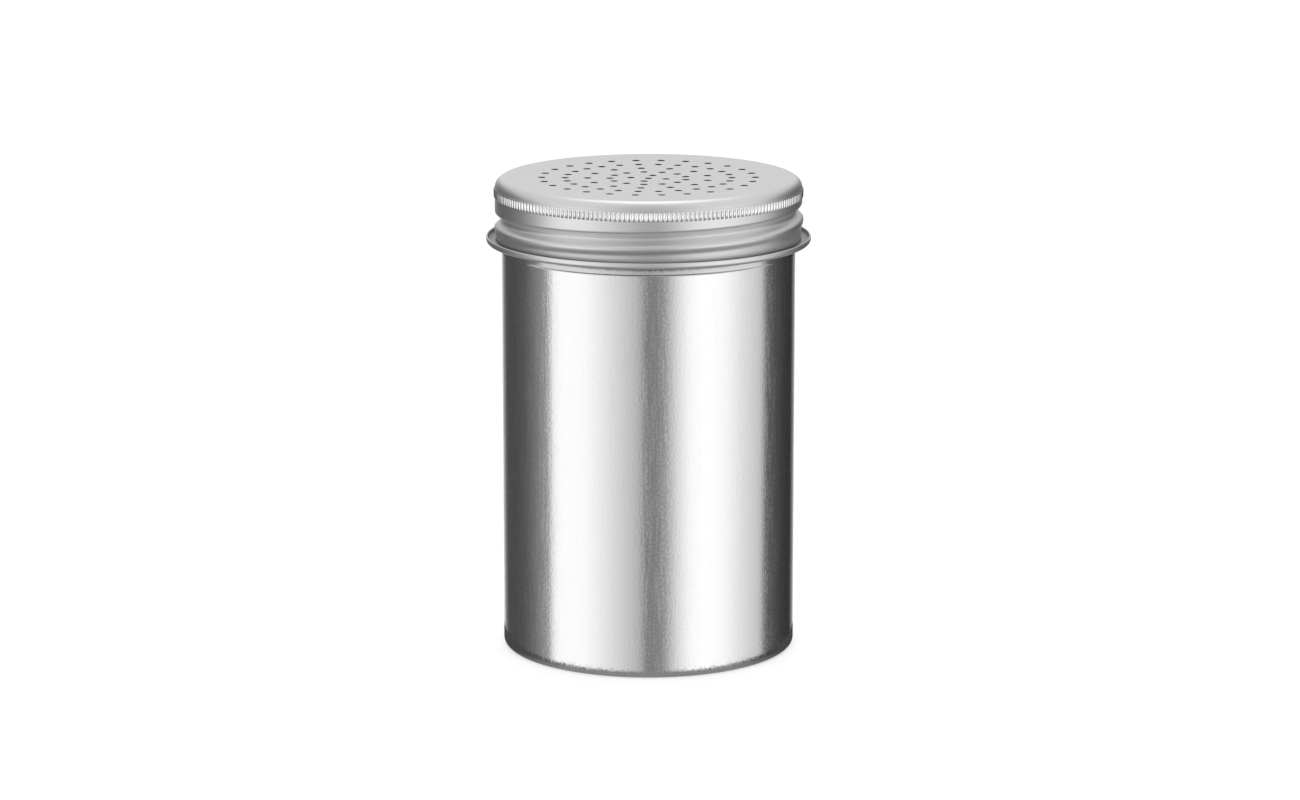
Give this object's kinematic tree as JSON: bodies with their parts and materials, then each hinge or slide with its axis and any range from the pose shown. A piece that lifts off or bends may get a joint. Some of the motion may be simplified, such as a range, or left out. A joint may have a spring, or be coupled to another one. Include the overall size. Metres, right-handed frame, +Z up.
{
  "type": "spice tin",
  "caption": "Straight round metal can with a rolled screw neck and a screw lid whose flat top is a sieve of small round holes, for shaking out spice.",
  "frame": {"origin": "middle of the base, on the surface that the tin stands on", "axes": "+Z up along the can's axis; -Y is the front, where the thread heights are measured"},
  "size_m": [0.0756, 0.0756, 0.1113],
  "materials": {
    "can_metal": "bright drawn metal with a fine upright grain",
    "lid_metal": "satin",
    "ring_rubber": "matte pale rubber"
  },
  "bodies": {
    "can": {"can_body": "can_metal"},
    "lid_carrier": {"sealing_ring": "ring_rubber"},
    "lid": {"screw_lid": "lid_metal"}
  },
  "joints": [
    {"name": "lid_lift", "type": "slide", "parent": "can", "child": "lid_carrier", "axis": [0, 0, 1], "range_m": [0, 0.01524]},
    {"name": "lid_turn", "type": "hinge", "parent": "lid_carrier", "child": "lid", "pos_m": [0, 0, 0.1], "axis": [0, 0, 1], "range_deg": [0, 1296]}
  ],
  "couplings": [
    {"joint": "lid_lift", "follows": "lid_turn", "m_per_rad": 0.0006737}
  ]
}
